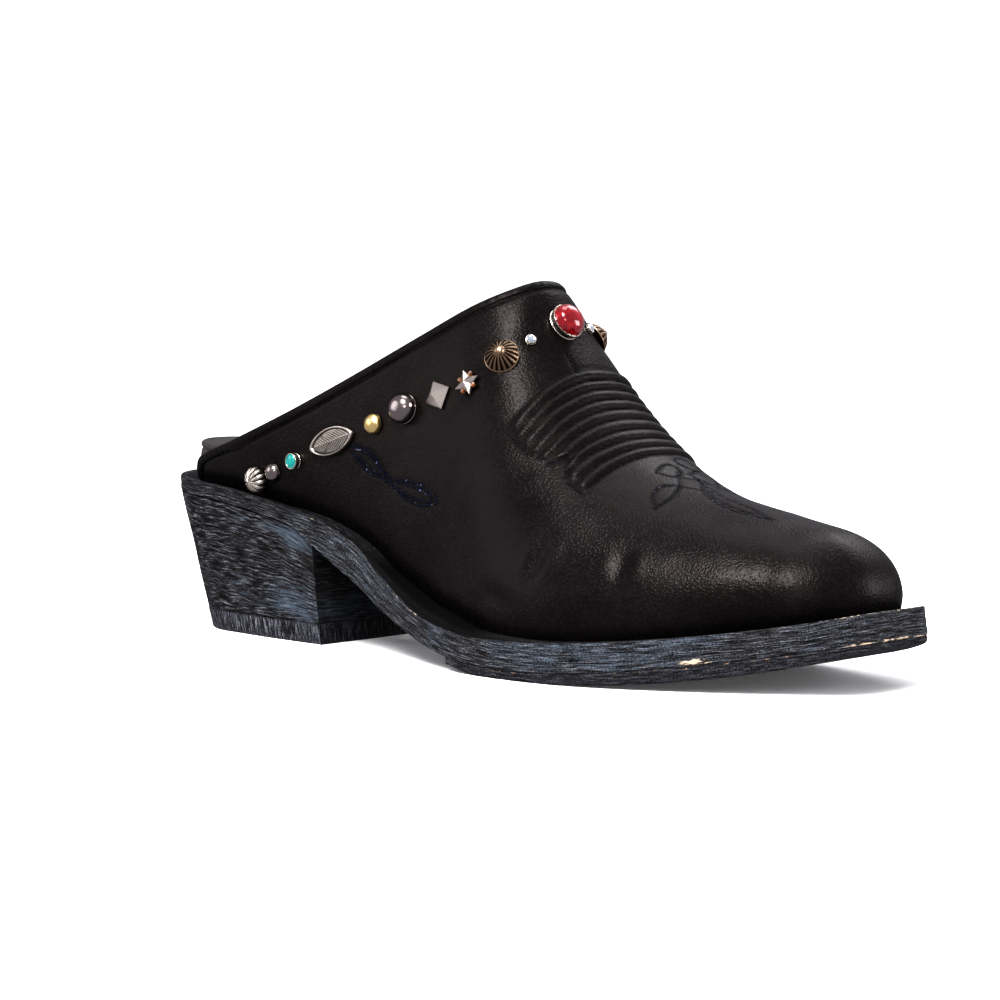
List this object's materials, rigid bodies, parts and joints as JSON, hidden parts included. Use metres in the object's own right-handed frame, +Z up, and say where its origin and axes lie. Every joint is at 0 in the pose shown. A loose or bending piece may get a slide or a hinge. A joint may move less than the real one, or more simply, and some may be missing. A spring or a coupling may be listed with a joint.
{
  "type": "mule",
  "caption": "Backless western mule for the right foot: black leather upper with a row of studs along the collar, snip toe, and a leather sole on a stacked underslung heel.",
  "frame": {"origin": "on the floor under the middle of the shoe's box", "axes": "+X along the shoe to the toe, +Y to the inner (medial) side, +Z up"},
  "size_m": [0.2816, 0.0938, 0.1146],
  "materials": {
    "black_leather": "satin full-grain leather with a fine pebble grain",
    "lining_leather": "smooth dark lining leather",
    "painted_sole_leather": "black leather sole and heel with distressed blue-grey paint",
    "dark_rubber": "matt dark sole rubber, scuffed",
    "insole_leather": "soft satin padded footbed leather",
    "navy_thread": "twisted navy embroidery thread",
    "black_thread": "waxed black sewing thread",
    "silver": "antiqued silver-tone metal",
    "bronze": "antiqued bronze-tone metal",
    "gunmetal": "polished gunmetal",
    "brass": "polished gold-tone brass",
    "red_stone": "glossy red cabochon",
    "turquoise_stone": "polished turquoise cabochon",
    "crystal_glass": "cut clear glass"
  },
  "bodies": {
    "root": {"outsole": "painted_sole_leather", "half_sole": "dark_rubber", "heel_block": "painted_sole_leather", "heel_top_lift": "dark_rubber", "insole": "insole_leather", "upper": "black_leather", "stud_lateral_crystal": "crystal_glass", "stud_lateral_ribbed_bronze": "bronze", "stud_lateral_star": "silver", "stud_lateral_pyramid": "silver", "stud_lateral_gunmetal_ball": "gunmetal", "stud_lateral_gold_dome": "brass", "stud_lateral_marquise": "silver", "stud_lateral_turquoise": "turquoise_stone", "stud_lateral_gunmetal_dot": "gunmetal", "stud_lateral_ribbed_silver": "silver", "stud_medial_crystal": "crystal_glass", "stud_medial_ribbed_bronze": "bronze", "stud_medial_star": "silver", "stud_medial_pyramid": "silver", "stud_medial_gunmetal_ball": "gunmetal", "stud_medial_gold_dome": "brass", "stud_medial_marquise": "silver", "stud_medial_turquoise": "turquoise_stone", "stud_medial_gunmetal_dot": "gunmetal", "stud_medial_ribbed_silver": "silver", "stud_red_cabochon": "red_stone"}
  },
  "joints": []
}
